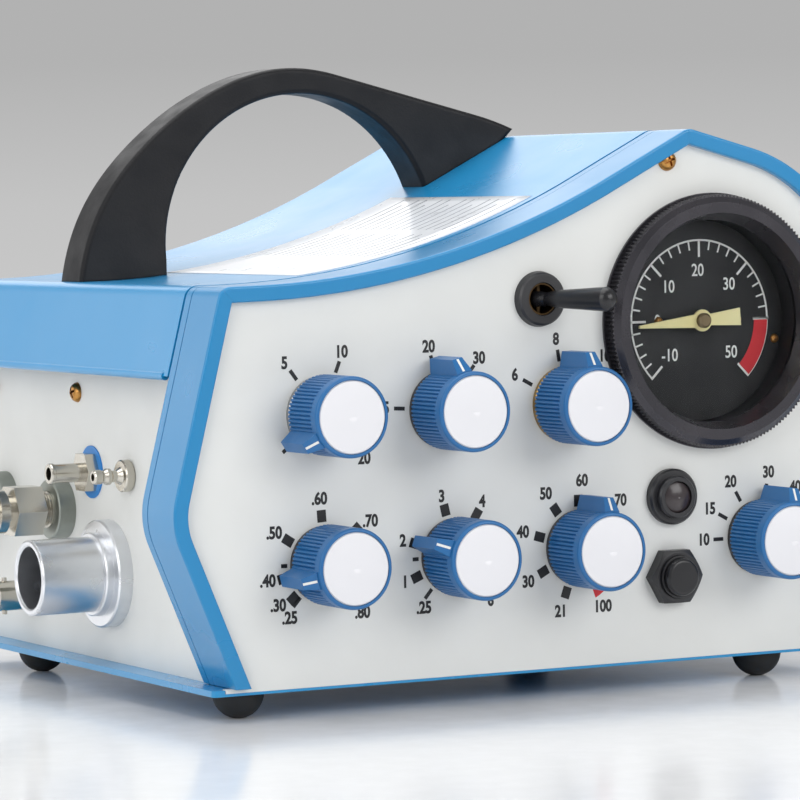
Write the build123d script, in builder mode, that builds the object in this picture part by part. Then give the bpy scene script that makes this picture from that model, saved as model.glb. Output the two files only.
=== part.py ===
"""Portable pneumatic ventilator: a steel case with a white control fascia, blue trim and a carry handle."""

import os
from math import cos, pi, radians, sin

from build123d import *

# Case coordinates, in millimetres: x runs right from the fascia's lower left corner, y runs back from the
# fascia's face, and z runs up from the fascia's lower edge. CORNER carries them into the part's frame, whose
# origin is under the middle of the whole object, on the surface that it stands on.
CORNER = (-90.65, -76.58, 8.2)

# Case
CASE_DEPTH = 177.0
KINK_HEIGHT = 47.4
LEG_LEAN = 0.414
LEFT_KINK = (-22.2, KINK_HEIGHT)
RIGHT_KINK = (211.2, KINK_HEIGHT)
LEG_END = -20.0
LEFT_FOOT = (LEFT_KINK[0] + LEG_LEAN * (KINK_HEIGHT - LEG_END), LEG_END)
RIGHT_FOOT = (RIGHT_KINK[0] - LEG_LEAN * (KINK_HEIGHT - LEG_END), LEG_END)
LEFT_SHOULDER = (-5.7, 112.0)
SLOPE_START = (5.0, 112.2)
SLOPE_END = (115.0, 138.9)
SLOPE_RADIUS = 261.5
PEAK = (145.7, 154.5)
BROW_RADIUS = 52.0
BROW_START_ANGLE = 75.0
BROW_END_ANGLE = 5.0
KINK_FILLET = 22.5
SHOULDER_FILLET = 4.0
PEAK_FILLET = 5.0

# Sheet metal
FASCIA_THICKNESS = 2.0
STRIP_OUT = 5.2
SHEET = 1.5
SIDE_FACE = -1.5
SIDE_SPAN = 189.0
RAIL_TOP = 1.0
FLANGE_BOTTOM = 87.1
HEM_RADIUS = 1.2
COVER_FRONT = 19.6

# Trim frame around the fascia: (front y, length, inset from the outline, wall)
TRIM_FACE = (-2.5, 2.5, 0.0, 4.5)
TRIM_WALL = (0.0, 14.6, 0.0, 1.4)
TRIM_GROOVE = (14.6, 0.6, 0.5, 0.9)
TRIM_RIM = (15.2, 3.4, 0.1, 1.3)
TRIM_NECK = (15.2, 3.4, 0.1, 3.1)
TRIM_TONGUE = (18.6, 7.0, 1.8, 1.4)
TRIM_BOTTOM = 1.2
TRIM_EDGE_FILLET = 0.7

# Controls on the fascia: centre (x, z)
GAUGE = (154.5, 98.2)
KNOBS = {
    "peep": ((25.7, 75.8), -147.0),
    "pressure": ((64.4, 75.8), 104.0),
    "flow": ((104.4, 75.8), 92.0),
    "inspiration_time": ((26.1, 34.1), 194.0),
    "expiration_time": ((67.5, 34.1), 160.0),
    "oxygen_blend": ((108.2, 34.3), 86.0),
    "alarm_limit": ((169.9, 34.1), 81.0),
}
TOGGLE = (96.0, 106.1)
ALARM_EYE = (139.4, 47.5)
RESET = (139.5, 24.3)
FASCIA_SCREW = (139.6, 145.1)

# Knob
KNOB_RADIUS = 11.3
KNOB_REAR = 2.0
FLUTED_LENGTH = 13.6
COLLAR_LENGTH = 3.2
FLUTES = 60
FLUTE_DEPTH = 0.5
FLUTE_LAND = 0.45
WING_REACH = 15.3
WING_WIDTH = 5.4
WING_TIP = 3.2
WING_SLOPE_START = 15.0
WING_END = 17.5
CAVITY_DEPTH = 11.5
CAP_RADIUS = 10.2
CAP_THICKNESS = 1.6
CAP_CROWN = 0.5
SPINDLE_RADIUS = 3.0
RUNNING_GAP = 0.08
FIT_GAP = 0.05
VALVE_NUT_RADIUS = 10.9
VALVE_NUT_THICKNESS = 1.6
VALVE_RADIUS = 8.5
VALVE_LENGTH = 27.0
SPINDLE_TAIL = 22.0

BUSHING_RADIUS = 5.0
BUSHING_LENGTH = 1.5
BORE = SPINDLE_RADIUS + RUNNING_GAP
COLLAR_RADIUS = 11.3
HUB_RADIUS = 4.6
KNOB_CAVITY = 9.4

# Reset button
RESET_BUSHING = 6.2
RESET_BUTTON = 5.5
RESET_FRONT = 7.0
RESET_TRAVEL = 3.0
RESET_WELL = 6.0
RESET_NUT_FLATS = 15.3

# Toggle lever
TOGGLE_LEAN = 25.0
TOGGLE_REACH = 26.5
TOGGLE_PIVOT = 0.5
TOGGLE_PIN = 0.8

# Ports
PATIENT_TUBE = 11.0
PATIENT_BORE = 9.05
PATIENT_REACH = 26.2
INLET_THREAD = 5.5

# Inside the case
MODULE_LEFT = 14.0
MODULE_FRONT = 45.0
MODULE_WIDTH = 116.0
MODULE_DEPTH = 55.0
MODULE_HEIGHT = 45.0
REGULATOR = (26.0, 139.0)

# Pressure gauge
RING_RADIUS = 36.9
RING_HEIGHT = 5.8
RING_OPENING = 31.5
KNURL_TEETH = 180
KNURL_DEPTH = 0.7
GAUGE_CAN_RADIUS = 31.0
GAUGE_CAN_DEPTH = 36.0
DIAL_DEPTH = 7.9
DIAL_RADIUS = 29.4
LENS_RADIUS = 30.9
LENS_THICKNESS = 1.8
POINTER_LENGTH = 21.8
POINTER_TAIL = 13.2
POINTER_ANGLE = 183.6
POINTER_DEPTH = 5.2
POINTER_SHAFT = 1.2
CAN_INNER = 29.8
CAN_FLANGE = 34.0
STEM_RADIUS = 4.5
STEM_LENGTH = 7.0
DIAL_SCREWS = [(-13.65, 0.0), (13.65, 0.0), (26.7, -6.1)]
DIAL_SCREW_HEAD = 1.4

# Handle
HANDLE_FRONT = 101.2
HANDLE_THICKNESS = 15.0
HANDLE_EDGE = 1.4
HANDLE_MIDDLE = HANDLE_FRONT + HANDLE_THICKNESS / 2
HANDLE_SCREW_RADIUS = 2.5
HANDLE_SCREW_LENGTH = 13.5
HANDLE_SCREWS = [(12.0, 106.0), (130.0, 140.0)]

# Feet: centre (x, y)
FEET = [(3.6, 10.6), (175.5, 10.6), (3.6, 147.7), (175.5, 147.7)]
FOOT_RADIUS = 7.3
FOOT_HEIGHT = 7.4
FOOT_FLAT = 1.6

# Ports on the left side: (y, z)
PATIENT_PORT = (83.8, 27.0)
EXPIRATORY_PORT = (69.4, 56.4)
PRESSURE_PORT = (95.8, 56.1)
OXYGEN_INLET = (117.0, 44.0)
AIR_INLET = (161.0, 44.0)
ALARM_JACK = (138.5, 16.6)
SIDE_SCREWS = [(105.5, 79.3), (30.0, 79.3), (168.0, 79.3)]
SCREW_HOLE = 1.8
SCREW_HEAD = 3.0
SCREW_HEAD_HEIGHT = 1.9
SCREW_LENGTH = 8.0

FASCIA = Plane(origin=CORNER, x_dir=(1, 0, 0), z_dir=(0, -1, 0))
GROUND = Plane(origin=CORNER, x_dir=(1, 0, 0), z_dir=(0, 0, 1))
LEFT_SIDE = Plane(
    origin=(CORNER[0] + SIDE_FACE, CORNER[1], CORNER[2]), x_dir=(0, -1, 0), z_dir=(-1, 0, 0)
)

os.makedirs("parts", exist_ok=True)


def save(piece, name):
    """Labels a finished piece and writes it to its own file."""
    piece.part.label = name
    export_step(piece.part, f"parts/{name}.step")


def on_side(port):
    """A (y, z) place on the left side, in that plane's own coordinates."""
    return (-port[0], port[1])


def axis_at(centre, depth=0.0):
    """The plane parallel to the fascia whose origin is at a control's centre, depth behind the face."""
    return Plane(
        origin=FASCIA.from_local_coords((centre[0], centre[1], -depth)), x_dir=(1, 0, 0), z_dir=(0, -1, 0)
    )


def side_axis_at(port, out=0.0):
    """The plane parallel to the left side whose origin is at a port's centre, standing out from it."""
    return Plane(
        origin=LEFT_SIDE.from_local_coords((-port[0], port[1], out)), x_dir=(0, -1, 0), z_dir=(-1, 0, 0)
    )


def profile_plane(plane):
    """The plane through an axis plane's normal: local x is the radius, local y runs along the normal."""
    return Plane(origin=plane.origin, x_dir=plane.x_dir, z_dir=plane.x_dir.cross(plane.z_dir))


def turned(plane, outline):
    """Revolves a (radius, height) outline about the normal of a plane, in the part being built."""
    with BuildSketch(profile_plane(plane)) as half_section:
        with BuildLine():
            Polyline(*outline, close=True)
        make_face()
    revolve(half_section.sketch, axis=Axis(plane.origin, plane.z_dir))


def toothed_points(radius, depth, teeth):
    """Corners of a fine straight-sided tooth form around a circle."""
    points = []
    for index in range(teeth):
        tip = 2 * pi * index / teeth
        root = 2 * pi * (index + 0.5) / teeth
        points.append((radius * cos(tip), radius * sin(tip)))
        points.append(((radius - depth) * cos(root), (radius - depth) * sin(root)))
    return points


def fluted_points(radius, depth, flutes, land):
    """Corners of a grip around a circle: each land keeps its share of the pitch, between narrow grooves."""
    points = []
    for index in range(flutes):
        for share in (-land / 2, land / 2):
            edge = 2 * pi * (index + share) / flutes
            points.append((radius * cos(edge), radius * sin(edge)))
        root = 2 * pi * (index + 0.5) / flutes
        points.append(((radius - depth) * cos(root), (radius - depth) * sin(root)))
    return points


def on_brow(angle):
    """A point of the arc that runs over the gauge, concentric with it."""
    return (GAUGE[0] + BROW_RADIUS * cos(radians(angle)), GAUGE[1] + BROW_RADIUS * sin(radians(angle)))


# ---------------------------------------------------------------- case outline

with BuildSketch() as outline:
    with BuildLine():
        Line(LEFT_FOOT, LEFT_KINK)
        Line(LEFT_KINK, LEFT_SHOULDER)
        Line(LEFT_SHOULDER, SLOPE_START)
        RadiusArc(SLOPE_START, SLOPE_END, -SLOPE_RADIUS)
        Line(SLOPE_END, PEAK)
        Line(PEAK, on_brow(BROW_START_ANGLE))
        ThreePointArc(
            on_brow(BROW_START_ANGLE),
            on_brow((BROW_START_ANGLE + BROW_END_ANGLE) / 2),
            on_brow(BROW_END_ANGLE),
        )
        Line(on_brow(BROW_END_ANGLE), RIGHT_KINK)
        Line(RIGHT_KINK, RIGHT_FOOT)
        Line(RIGHT_FOOT, LEFT_FOOT)
    make_face()
    fillet(outline.vertices().sort_by_distance(LEFT_KINK)[0], KINK_FILLET)
    fillet(outline.vertices().sort_by_distance(RIGHT_KINK)[0], KINK_FILLET)
    fillet(outline.vertices().sort_by_distance(LEFT_SHOULDER)[0], SHOULDER_FILLET)
    fillet(outline.vertices().sort_by_distance(PEAK)[0], PEAK_FILLET)


def inset_outline(inset):
    """The case outline, moved inwards."""
    if inset == 0:
        return outline.sketch
    return offset(outline.sketch, amount=-inset, kind=Kind.INTERSECTION, mode=Mode.PRIVATE)


def ring(front, length, inset, wall, bottom):
    """Adds a stretch of wall that follows the case outline above a height, to the part being built."""
    with BuildSketch(FASCIA.offset(-front)) as section:
        add(inset_outline(inset))
        add(inset_outline(inset + wall), mode=Mode.SUBTRACT)
        with Locations((SIDE_SPAN / 2, bottom - 100)):
            Rectangle(400, 200, mode=Mode.SUBTRACT)
    extrude(section.sketch, amount=-length)


# ---------------------------------------------------------------- trim frame

TRIM_REGIONS = {
    "bezel_left": [(-60, -20), (GAUGE[0], -20), (22, 84), (-32, 138), (-60, 138)],
    "bezel_top": [(-32, 138), (22, 84), (145.7, 110), (145.7, 190), (-32, 190)],
    "bezel_right": [(145.7, 190), (145.7, 110), (150, -20), (260, -20), (260, 190)],
}

for trim_name, region in TRIM_REGIONS.items():
    with BuildPart() as trim:
        ring(*TRIM_FACE, LEG_END - 5)
        face_edges = trim.faces().sort_by(Axis.Y)[0].edges()
        fillet(face_edges, TRIM_EDGE_FILLET)
        with BuildSketch(FASCIA.offset(10)):
            with Locations((SIDE_SPAN / 2, TRIM_BOTTOM - 25)):
                Rectangle(400, 50)
        extrude(amount=-20, mode=Mode.SUBTRACT)
        with BuildSketch(FASCIA):
            with Locations(FASCIA_SCREW):
                Circle(SCREW_HEAD + 0.2)
        extrude(amount=SCREW_HEAD_HEIGHT + 0.1, mode=Mode.SUBTRACT)
        ring(*TRIM_WALL, TRIM_BOTTOM)
        ring(*TRIM_GROOVE, TRIM_BOTTOM)
        ring(*TRIM_RIM, TRIM_BOTTOM)
        ring(*TRIM_NECK, FLANGE_BOTTOM + 2)
        ring(*TRIM_TONGUE, FLANGE_BOTTOM + 2)
        with BuildSketch(FASCIA.offset(10)):
            with BuildLine():
                Polyline(*region, close=True)
            make_face()
        extrude(amount=-60, mode=Mode.INTERSECT)
    save(trim, trim_name)

# ---------------------------------------------------------------- fascia

with BuildPart() as front_panel:
    with BuildSketch(FASCIA):
        add(inset_outline(TRIM_WALL[3] + 0.1))
        with Locations(GAUGE):
            Circle(GAUGE_CAN_RADIUS + 0.4, mode=Mode.SUBTRACT)
        with Locations((SIDE_SPAN / 2, TRIM_BOTTOM - 25)):
            Rectangle(400, 50, mode=Mode.SUBTRACT)
        with Locations((SIDE_SPAN / 2, TRIM_BOTTOM / 2)):
            Rectangle(SIDE_SPAN + 2 * STRIP_OUT, TRIM_BOTTOM)
        for centre, _ in KNOBS.values():
            with Locations(centre):
                Circle(BUSHING_RADIUS + 0.2, mode=Mode.SUBTRACT)
        with Locations(TOGGLE, ALARM_EYE):
            Circle(5.0, mode=Mode.SUBTRACT)
        with Locations(RESET):
            Circle(RESET_BUSHING + 0.2, mode=Mode.SUBTRACT)
        with Locations(FASCIA_SCREW):
            Circle(SCREW_HOLE, mode=Mode.SUBTRACT)
    extrude(amount=-FASCIA_THICKNESS)
save(front_panel, "front_panel")

# ---------------------------------------------------------------- case

with BuildPart() as top_cover:
    ring(COVER_FRONT, CASE_DEPTH - COVER_FRONT, 0.0, SHEET, FLANGE_BOTTOM)
    flange_ends = top_cover.faces().filter_by(Axis.Z).sort_by(Axis.Z)[:2]
    for end in flange_ends:
        hem_at = FASCIA.to_local_coords(end.center())
        with BuildSketch(FASCIA.offset(-COVER_FRONT - 3)):
            with Locations((hem_at.X, hem_at.Y)):
                Circle(HEM_RADIUS)
        extrude(amount=-(CASE_DEPTH - SHEET - 0.1 - COVER_FRONT - 3))
    for screw_x, screw_z in HANDLE_SCREWS:
        with BuildSketch(GROUND.offset(screw_z - 4)):
            with Locations((screw_x, HANDLE_MIDDLE)):
                Circle(HANDLE_SCREW_RADIUS + 0.3)
        extrude(amount=20, mode=Mode.SUBTRACT)
save(top_cover, "top_cover")

RAIL_OUT = 7.5
RAIL_FRONT = 2.4
with BuildPart() as base_tray:
    with BuildSketch(GROUND.offset(-0.8)):
        with Locations((SIDE_SPAN / 2, CASE_DEPTH / 2)):
            Rectangle(SIDE_SPAN + 2 * (RAIL_OUT - SIDE_FACE), CASE_DEPTH)
    extrude(amount=0.8)
    with BuildSketch(GROUND):
        for x in (-(RAIL_OUT - SIDE_FACE) / 2, SIDE_SPAN + (RAIL_OUT - SIDE_FACE) / 2):
            with Locations((x, (CASE_DEPTH + RAIL_FRONT) / 2)):
                Rectangle(RAIL_OUT - SIDE_FACE, CASE_DEPTH - RAIL_FRONT)
        for x in (SIDE_FACE - RAIL_OUT + 1.8, SIDE_SPAN - SIDE_FACE + RAIL_OUT - 1.8):
            with Locations((x, RAIL_FRONT / 2)):
                Rectangle(3.6, RAIL_FRONT)
        with Locations((SIDE_SPAN / 2, CASE_DEPTH - 1.5)):
            Rectangle(SIDE_SPAN, 3)
    extrude(amount=RAIL_TOP)
    fillet(base_tray.edges().filter_by(Axis.Z).group_by(Axis.X)[0], 1.5)
    fillet(base_tray.edges().filter_by(Axis.Z).group_by(Axis.X)[-1], 1.5)
save(base_tray, "base_tray")

PORT_HOLES = [
    (PATIENT_PORT, 10.0),
    (EXPIRATORY_PORT, 3.0),
    (PRESSURE_PORT, 3.0),
    (OXYGEN_INLET, 5.6),
    (AIR_INLET, 5.6),
    (ALARM_JACK, 4.2),
]
SIDE_TOP = 108.5
with BuildPart() as side_panel_left:
    with BuildSketch(LEFT_SIDE):
        with Locations(((FASCIA_THICKNESS + CASE_DEPTH - SHEET) / -2, (RAIL_TOP + SIDE_TOP) / 2)):
            Rectangle(CASE_DEPTH - SHEET - FASCIA_THICKNESS - 0.4, SIDE_TOP - RAIL_TOP)
        for port, hole in PORT_HOLES:
            with Locations(on_side(port)):
                Circle(hole, mode=Mode.SUBTRACT)
        for place in SIDE_SCREWS:
            with Locations(on_side(place)):
                Circle(SCREW_HOLE, mode=Mode.SUBTRACT)
    extrude(amount=-SHEET)
save(side_panel_left, "side_panel_left")

RIGHT_TOP = 126.0
with BuildPart() as side_panel_right:
    with BuildSketch(LEFT_SIDE.offset(-SIDE_SPAN + SIDE_FACE)):
        with Locations(((FASCIA_THICKNESS + CASE_DEPTH - SHEET) / -2, (RAIL_TOP + RIGHT_TOP) / 2)):
            Rectangle(CASE_DEPTH - SHEET - FASCIA_THICKNESS - 0.4, RIGHT_TOP - RAIL_TOP)
        for place in SIDE_SCREWS:
            with Locations(on_side(place)):
                Circle(SCREW_HOLE, mode=Mode.SUBTRACT)
    extrude(amount=-SHEET)
save(side_panel_right, "side_panel_right")

with BuildPart() as rear_panel:
    with BuildSketch(FASCIA.offset(-CASE_DEPTH + SHEET)):
        add(inset_outline(SHEET + 0.1))
        with Locations((SIDE_SPAN / 2, FLANGE_BOTTOM - 100)):
            Rectangle(400, 200, mode=Mode.SUBTRACT)
        with Locations((SIDE_SPAN / 2, (RAIL_TOP + FLANGE_BOTTOM + 1) / 2)):
            Rectangle(SIDE_SPAN - 2 * SIDE_FACE, FLANGE_BOTTOM + 1 - RAIL_TOP)
    extrude(amount=-SHEET)
save(rear_panel, "rear_panel")


def dome(plane, radius, height, flat):
    """A rubber dome hanging below a plane, with a small flat to stand on."""
    bottom = -height
    with BuildSketch(profile_plane(plane)) as half_section:
        with BuildLine():
            Line((0, 0), (radius, 0))
            ThreePointArc((radius, 0), (radius * 0.76, -height * 0.68), (flat, bottom))
            Line((flat, bottom), (0, bottom))
            Line((0, bottom), (0, 0))
        make_face()
    revolve(half_section.sketch, axis=Axis(plane.origin, plane.z_dir))


with BuildPart() as rubber_feet:
    for foot in FEET:
        foot_plane = Plane(origin=GROUND.from_local_coords((*foot, -0.8)), x_dir=(1, 0, 0), z_dir=(0, 0, 1))
        dome(foot_plane, FOOT_RADIUS, FOOT_HEIGHT, FOOT_FLAT)
save(rubber_feet, "rubber_feet")

# ---------------------------------------------------------------- carry handle

with BuildSketch() as handle_shape:
    with BuildLine():
        Line((85.0, 173.4), (134.0, 160.8))
        Spline(
            (-2.0, 110.0), (18.5, 150.6), (56.0, 173.4), (85.0, 173.4), tangents=[(0.12, 1), (49.0, -12.6)]
        )
        TangentArc((134.0, 160.8), (147.0, 156.4), tangent=(49.0, -12.6))
        Line((147.0, 156.4), (143.4, 152.8))
        Line((143.4, 152.8), (117.0, 130.0))
        ThreePointArc((117.0, 130.0), (70.5, 167.5), (27.0, 118.0))
        Line((27.0, 118.0), (27.0, 105.0))
        Line((27.0, 105.0), (-2.0, 105.0))
        Line((-2.0, 105.0), (-2.0, 110.0))
    make_face()
    add(outline.sketch, mode=Mode.SUBTRACT)

with BuildPart() as carry_handle:
    with BuildSketch(FASCIA.offset(-HANDLE_FRONT)):
        add(handle_shape.sketch)
    extrude(amount=-HANDLE_THICKNESS)
    face_edges = carry_handle.faces().filter_by(Axis.Y).edges()
    fillet(face_edges.filter_by(lambda e: top_cover.part.distance_to(e @ 0.5) > 0.5), HANDLE_EDGE)
    for screw_x, screw_z in HANDLE_SCREWS:
        with BuildSketch(GROUND.offset(screw_z)):
            with Locations((screw_x, HANDLE_MIDDLE)):
                Circle(HANDLE_SCREW_RADIUS + FIT_GAP)
        extrude(amount=HANDLE_SCREW_LENGTH + 0.5, mode=Mode.SUBTRACT)
save(carry_handle, "carry_handle")

with BuildPart() as handle_screws:
    for screw_x, screw_z in HANDLE_SCREWS:
        seat = Plane(origin=GROUND.from_local_coords((screw_x, HANDLE_MIDDLE, screw_z)), z_dir=(0, 0, 1))
        turned(
            seat,
            [
                (0, -4),
                (4.5, -4),
                (4.5, 0),
                (HANDLE_SCREW_RADIUS, 0),
                (HANDLE_SCREW_RADIUS, HANDLE_SCREW_LENGTH),
                (0, HANDLE_SCREW_LENGTH),
            ],
        )
        with BuildSketch(seat.offset(-4)):
            RegularPolygon(2.5, 6)
        extrude(amount=2.5, mode=Mode.SUBTRACT)
save(handle_screws, "handle_screws")

# ---------------------------------------------------------------- fastening screws


def pan_screw(plane, head_radius, head_height, length):
    """A round-headed screw with a cross recess, whose head sits on a plane, in the part being built."""
    with BuildSketch(profile_plane(plane)) as half_section:
        with BuildLine():
            Line((0, -length), (head_radius / 2, -length))
            Line((head_radius / 2, -length), (head_radius / 2, 0))
            Line((head_radius / 2, 0), (head_radius, 0))
            ThreePointArc((head_radius, 0), (head_radius * 0.78, head_height * 0.72), (0, head_height))
            Line((0, head_height), (0, -length))
        make_face()
    revolve(half_section.sketch, axis=Axis(plane.origin, plane.z_dir))
    with BuildSketch(plane.offset(head_height * 0.4)) as cross:
        Rectangle(head_radius * 1.15, head_radius * 0.24, rotation=20)
        Rectangle(head_radius * 0.24, head_radius * 1.15, rotation=20)
    extrude(cross.sketch, amount=head_height, mode=Mode.SUBTRACT)


with BuildPart() as brass_screws:
    pan_screw(axis_at(FASCIA_SCREW), SCREW_HEAD, SCREW_HEAD_HEIGHT, SCREW_LENGTH)
    for place in SIDE_SCREWS:
        pan_screw(side_axis_at(place), SCREW_HEAD, SCREW_HEAD_HEIGHT, SCREW_LENGTH)
        right = Plane(
            origin=GROUND.from_local_coords((SIDE_SPAN - SIDE_FACE, place[0], place[1])),
            x_dir=(0, 1, 0),
            z_dir=(1, 0, 0),
        )
        pan_screw(right, SCREW_HEAD, SCREW_HEAD_HEIGHT, SCREW_LENGTH)
    for screw_x, screw_z in DIAL_SCREWS:
        dial_place = axis_at((GAUGE[0] + screw_x, GAUGE[1] + screw_z), DIAL_DEPTH)
        pan_screw(dial_place, DIAL_SCREW_HEAD, 0.9, 4.0)
save(brass_screws, "brass_screws")

# ---------------------------------------------------------------- rotary controls


def radial_plane(centre, angle):
    """The plane through a control's axis at an angle round it: local x is the radius, local y runs forward."""
    turn = radians(angle)
    return Plane(
        origin=axis_at(centre).origin, x_dir=(cos(turn), 0, sin(turn)), z_dir=(sin(turn), 0, -cos(turn))
    )


KNOB_FRONT = KNOB_REAR + FLUTED_LENGTH + COLLAR_LENGTH
CAP_SEAT = KNOB_FRONT - CAP_THICKNESS
SPINDLE_TIP = CAP_SEAT - 2.5

for control, (centre, angle) in KNOBS.items():
    face = axis_at(centre)
    wing_plane = radial_plane(centre, angle)
    with BuildPart() as knob:
        with BuildSketch(face.offset(KNOB_REAR)):
            Polygon(*fluted_points(KNOB_RADIUS, FLUTE_DEPTH, FLUTES, FLUTE_LAND), align=None)
        extrude(amount=FLUTED_LENGTH)
        with BuildSketch(face.offset(KNOB_REAR + FLUTED_LENGTH)):
            Circle(COLLAR_RADIUS)
        extrude(amount=COLLAR_LENGTH)
        fillet(knob.faces().sort_by(Axis.Y)[0].edges(), 0.8)
        with BuildSketch(Plane(origin=face.offset(KNOB_REAR).origin, x_dir=wing_plane.x_dir, z_dir=face.z_dir)):
            Polygon(
                (KNOB_CAVITY + 0.5, -WING_WIDTH / 2),
                (WING_REACH, -WING_TIP / 2),
                (WING_REACH, WING_TIP / 2),
                (KNOB_CAVITY + 0.5, WING_WIDTH / 2),
                align=None,
            )
        extrude(amount=WING_END - KNOB_REAR)
        with BuildSketch(wing_plane):
            Polygon(
                (COLLAR_RADIUS + 0.05, WING_END + 0.1),
                (WING_REACH + 0.1, WING_SLOPE_START),
                (WING_REACH + 0.1, WING_END + 0.1),
                align=None,
            )
        extrude(amount=WING_WIDTH, both=True, mode=Mode.SUBTRACT)
        with BuildSketch(face.offset(CAP_SEAT)):
            Circle(CAP_RADIUS + FIT_GAP)
        extrude(amount=CAP_THICKNESS, mode=Mode.SUBTRACT)
        with BuildSketch(face.offset(KNOB_REAR)):
            Circle(KNOB_CAVITY)
            Circle(HUB_RADIUS, mode=Mode.SUBTRACT)
        extrude(amount=CAVITY_DEPTH, mode=Mode.SUBTRACT)
        with BuildSketch(face.offset(KNOB_REAR)):
            Circle(SPINDLE_RADIUS + FIT_GAP)
        extrude(amount=SPINDLE_TIP - KNOB_REAR, mode=Mode.SUBTRACT)
    save(knob, f"knob_{control}")

    with BuildPart() as cap:
        with BuildSketch(profile_plane(face.offset(CAP_SEAT))):
            with BuildLine():
                Line((0, 0), (CAP_RADIUS, 0))
                Line((CAP_RADIUS, 0), (CAP_RADIUS, CAP_THICKNESS - 0.4))
                Line((CAP_RADIUS, CAP_THICKNESS - 0.4), (CAP_RADIUS - 0.4, CAP_THICKNESS))
                TangentArc(
                    (0, CAP_THICKNESS + CAP_CROWN), (CAP_RADIUS - 0.4, CAP_THICKNESS), tangent=(1, 0)
                )
                Line((0, CAP_THICKNESS + CAP_CROWN), (0, 0))
            make_face()
        revolve(axis=Axis(face.origin, face.z_dir))
    save(cap, f"cap_{control}")

    with BuildPart() as spindle:
        with BuildSketch(face.offset(SPINDLE_TIP)):
            Circle(SPINDLE_RADIUS)
        extrude(amount=-(SPINDLE_TIP + SPINDLE_TAIL))
    save(spindle, f"spindle_{control}")


def valve_nut(centre):
    """The round nut that holds a valve to the fascia, under its knob."""
    inner = BUSHING_RADIUS + FIT_GAP
    outline_points = [
        (inner, 0),
        (VALVE_NUT_RADIUS, 0),
        (VALVE_NUT_RADIUS, VALVE_NUT_THICKNESS - 0.4),
        (VALVE_NUT_RADIUS - 0.4, VALVE_NUT_THICKNESS),
        (inner, VALVE_NUT_THICKNESS),
    ]
    turned(axis_at(centre), outline_points)


with BuildPart() as nuts_metal:
    valve_nut(KNOBS["peep"][0])
    valve_nut(KNOBS["flow"][0])
save(nuts_metal, "valve_nuts_metal")

with BuildPart() as nuts_black:
    for control, (centre, _) in KNOBS.items():
        if control not in ("peep", "flow"):
            valve_nut(centre)
save(nuts_black, "valve_nuts_black")

with BuildPart() as control_valves:
    for centre, _ in KNOBS.values():
        turned(
            axis_at(centre),
            [
                (BORE, BUSHING_LENGTH),
                (BUSHING_RADIUS, BUSHING_LENGTH),
                (BUSHING_RADIUS, -FASCIA_THICKNESS),
                (VALVE_RADIUS, -FASCIA_THICKNESS),
                (VALVE_RADIUS, -FASCIA_THICKNESS - VALVE_LENGTH),
                (0, -FASCIA_THICKNESS - VALVE_LENGTH),
                (0, -SPINDLE_TAIL - 0.6),
                (BORE, -SPINDLE_TAIL - 0.6),
            ],
        )
    with BuildSketch(axis_at(ALARM_EYE, FASCIA_THICKNESS)):
        Circle(8.0)
    extrude(amount=-20)
save(control_valves, "control_valves")

# ---------------------------------------------------------------- pressure gauge

gauge_face = axis_at(GAUGE)
LENS_BACK = 0.2 + LENS_THICKNESS
CAN_FRONT = LENS_BACK + 0.1
CAN_BACK = CAN_FRONT + GAUGE_CAN_DEPTH

with BuildPart() as gauge_ring:
    turned(
        gauge_face,
        [
            (LENS_RADIUS - 1.4, -0.1),
            (GAUGE_CAN_RADIUS + 0.3, -0.1),
            (GAUGE_CAN_RADIUS + 0.3, 0),
            (RING_RADIUS + 0.5, 0),
            (RING_RADIUS + 0.5, 0.8),
            (RING_RADIUS - KNURL_DEPTH, 0.8),
            (RING_RADIUS - KNURL_DEPTH, RING_HEIGHT - 1.2),
            (RING_RADIUS - 2.4, RING_HEIGHT),
            (RING_OPENING, RING_HEIGHT),
        ],
    )
    with BuildSketch(gauge_face.offset(0.8)):
        Polygon(*toothed_points(RING_RADIUS, KNURL_DEPTH, KNURL_TEETH), align=None)
        Circle(RING_RADIUS - 2, mode=Mode.SUBTRACT)
    extrude(amount=RING_HEIGHT - 2.0)
save(gauge_ring, "gauge_ring")

with BuildPart() as gauge_lens:
    with BuildSketch(gauge_face.offset(-0.2)):
        Circle(LENS_RADIUS)
    extrude(amount=-LENS_THICKNESS)
save(gauge_lens, "gauge_lens")

with BuildPart() as gauge_case:
    turned(
        gauge_face,
        [
            (CAN_INNER, -CAN_FRONT),
            (CAN_FLANGE, -CAN_FRONT),
            (CAN_FLANGE, -CAN_FRONT - 1.5),
            (GAUGE_CAN_RADIUS, -CAN_FRONT - 1.5),
            (GAUGE_CAN_RADIUS, -CAN_BACK),
            (STEM_RADIUS, -CAN_BACK),
            (STEM_RADIUS, -CAN_BACK - STEM_LENGTH),
            (0, -CAN_BACK - STEM_LENGTH),
            (0, -CAN_BACK + 1.5),
            (CAN_INNER, -CAN_BACK + 1.5),
        ],
    )
save(gauge_case, "gauge_case")

DIAL_THICKNESS = 0.8
with BuildPart() as gauge_dial:
    with BuildSketch(gauge_face.offset(-DIAL_DEPTH)):
        Circle(DIAL_RADIUS)
        Circle(POINTER_SHAFT + 0.4, mode=Mode.SUBTRACT)
        with Locations(*DIAL_SCREWS):
            Circle(DIAL_SCREW_HEAD / 2 + 0.1, mode=Mode.SUBTRACT)
    extrude(amount=-DIAL_THICKNESS)
save(gauge_dial, "gauge_dial")

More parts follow.
